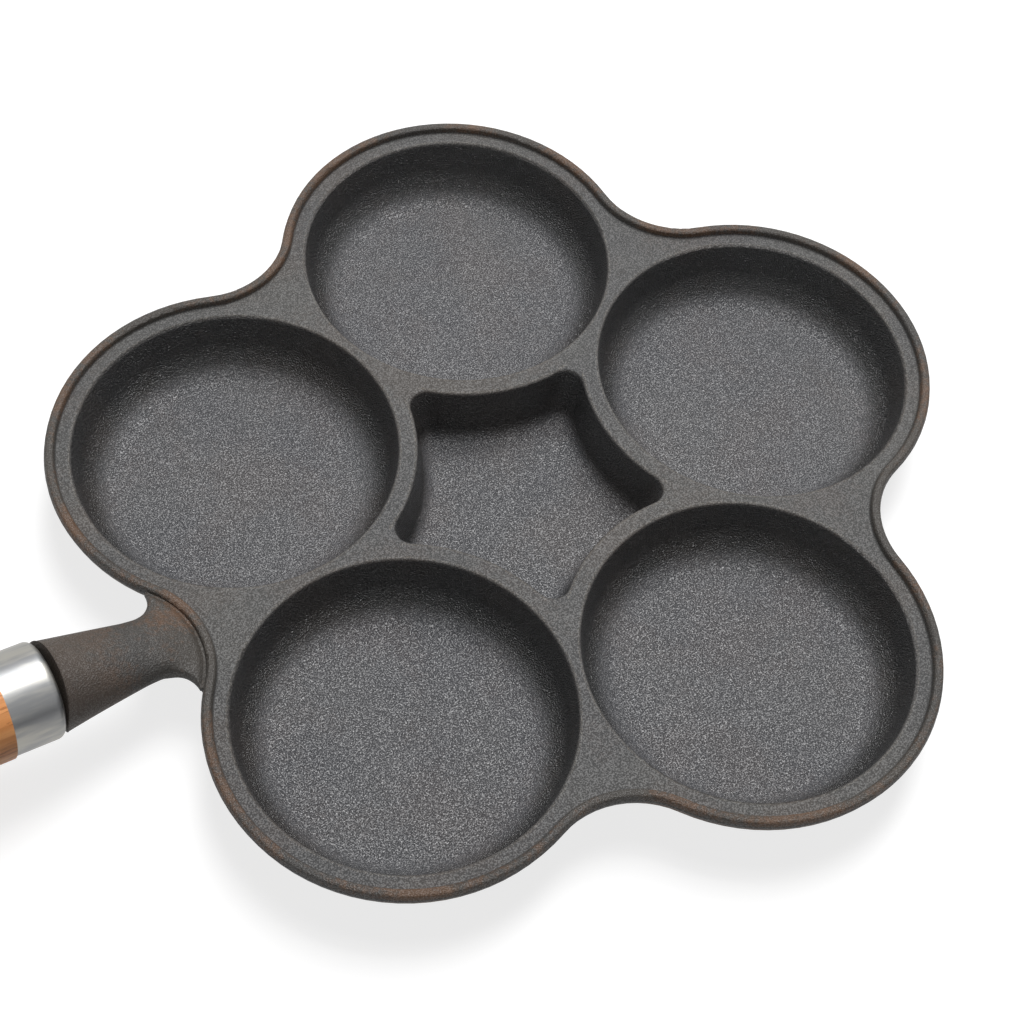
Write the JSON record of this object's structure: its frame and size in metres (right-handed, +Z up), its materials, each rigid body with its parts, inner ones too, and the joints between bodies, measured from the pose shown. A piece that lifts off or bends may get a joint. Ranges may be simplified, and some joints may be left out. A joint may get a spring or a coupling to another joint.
{
  "type": "cast iron egg pan",
  "caption": "Flower-shaped cast iron pan with round wells around a star well, a raised rim bead, and a wooden handle with steel ferrule and hanging ring.",
  "frame": {"origin": "centre of the underside of the star cup, on the plane that the pan stands on", "axes": "+Z up, handle towards -X, the pan mirrored about the XZ plane"},
  "size_m": [0.4128, 0.2406, 0.0604],
  "materials": {
    "cast_iron": "sand-cast, seasoned, finely pebbled",
    "stainless": "polished with fine wear",
    "beech": "oiled beech",
    "zinc_steel": "bright zinc plated"
  },
  "bodies": {
    "pan": {"pan_casting": "cast_iron", "ferrule": "stainless", "handle_grip": "beech", "tie_rod": "zinc_steel", "tail_washer": "stainless", "lock_washer": "zinc_steel", "eye_nut": "stainless"},
    "ring": {"hanging_ring": "stainless"}
  },
  "joints": [
    {"name": "ring_swing", "type": "hinge", "parent": "pan", "child": "ring", "pos_m": [-0.28361, 0, 0.0501], "axis": [0, 1, 0], "range_deg": [-52, 249]}
  ]
}
